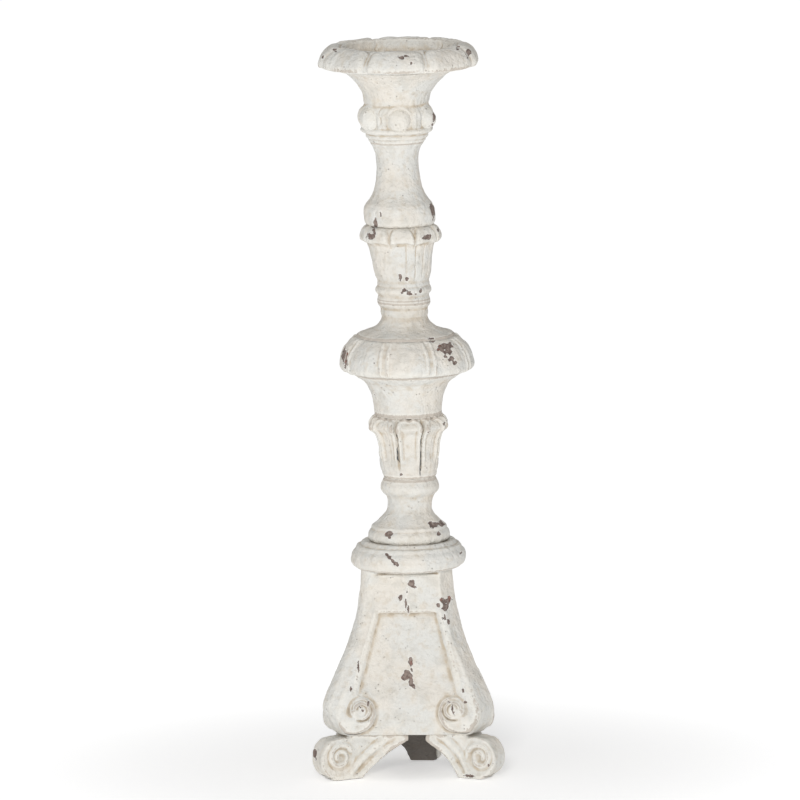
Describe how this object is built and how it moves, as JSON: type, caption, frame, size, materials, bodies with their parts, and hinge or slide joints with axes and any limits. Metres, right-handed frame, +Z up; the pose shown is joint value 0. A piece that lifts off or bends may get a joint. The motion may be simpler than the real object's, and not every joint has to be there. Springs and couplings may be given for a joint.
{
  "type": "wooden candlestick",
  "caption": "Tall turned and carved candlestick with a wide pillar-candle pan, leaf cups, a domed dish and a three-sided pedestal on scroll feet, in worn chalky white paint.",
  "frame": {"origin": "on the floor, at the centre of the whole object's plan box; the turning axis stands 11 mm in front of it, at y = -0.011", "axes": "+Z up along the turning axis; -Y is the front, a flat face of the pedestal; the third foot points to +Y"},
  "size_m": [0.1621, 0.1531, 0.61],
  "materials": {
    "painted_wood": "chalky off-white paint over gesso, worn through to taupe-brown wood in chips",
    "beech": "bare",
    "zinc_steel": "zinc plated",
    "brass": "machined"
  },
  "bodies": {
    "root": {"drip_pan": "painted_wood", "bead_cup": "painted_wood", "bead_1": "painted_wood", "bead_2": "painted_wood", "bead_3": "painted_wood", "bead_4": "painted_wood", "bead_5": "painted_wood", "bead_6": "painted_wood", "baluster_neck": "painted_wood", "upper_leaf_cup": "painted_wood", "collar": "painted_wood", "dish": "painted_wood", "trumpet": "painted_wood", "lower_leaf_cup": "painted_wood", "bell_foot": "painted_wood", "base_plate": "painted_wood", "pedestal_body": "painted_wood", "corner_rib_1": "painted_wood", "corner_rib_2": "painted_wood", "corner_rib_3": "painted_wood", "scroll_foot_1": "painted_wood", "scroll_foot_2": "painted_wood", "scroll_foot_3": "painted_wood", "foot_dowel_1": "beech", "foot_dowel_2": "beech", "foot_dowel_3": "beech", "foot_dowel_4": "beech", "foot_dowel_5": "beech", "foot_dowel_6": "beech", "tie_rod": "zinc_steel", "rod_nut": "zinc_steel", "rod_washer": "zinc_steel", "pan_insert": "brass"}
  },
  "joints": []
}
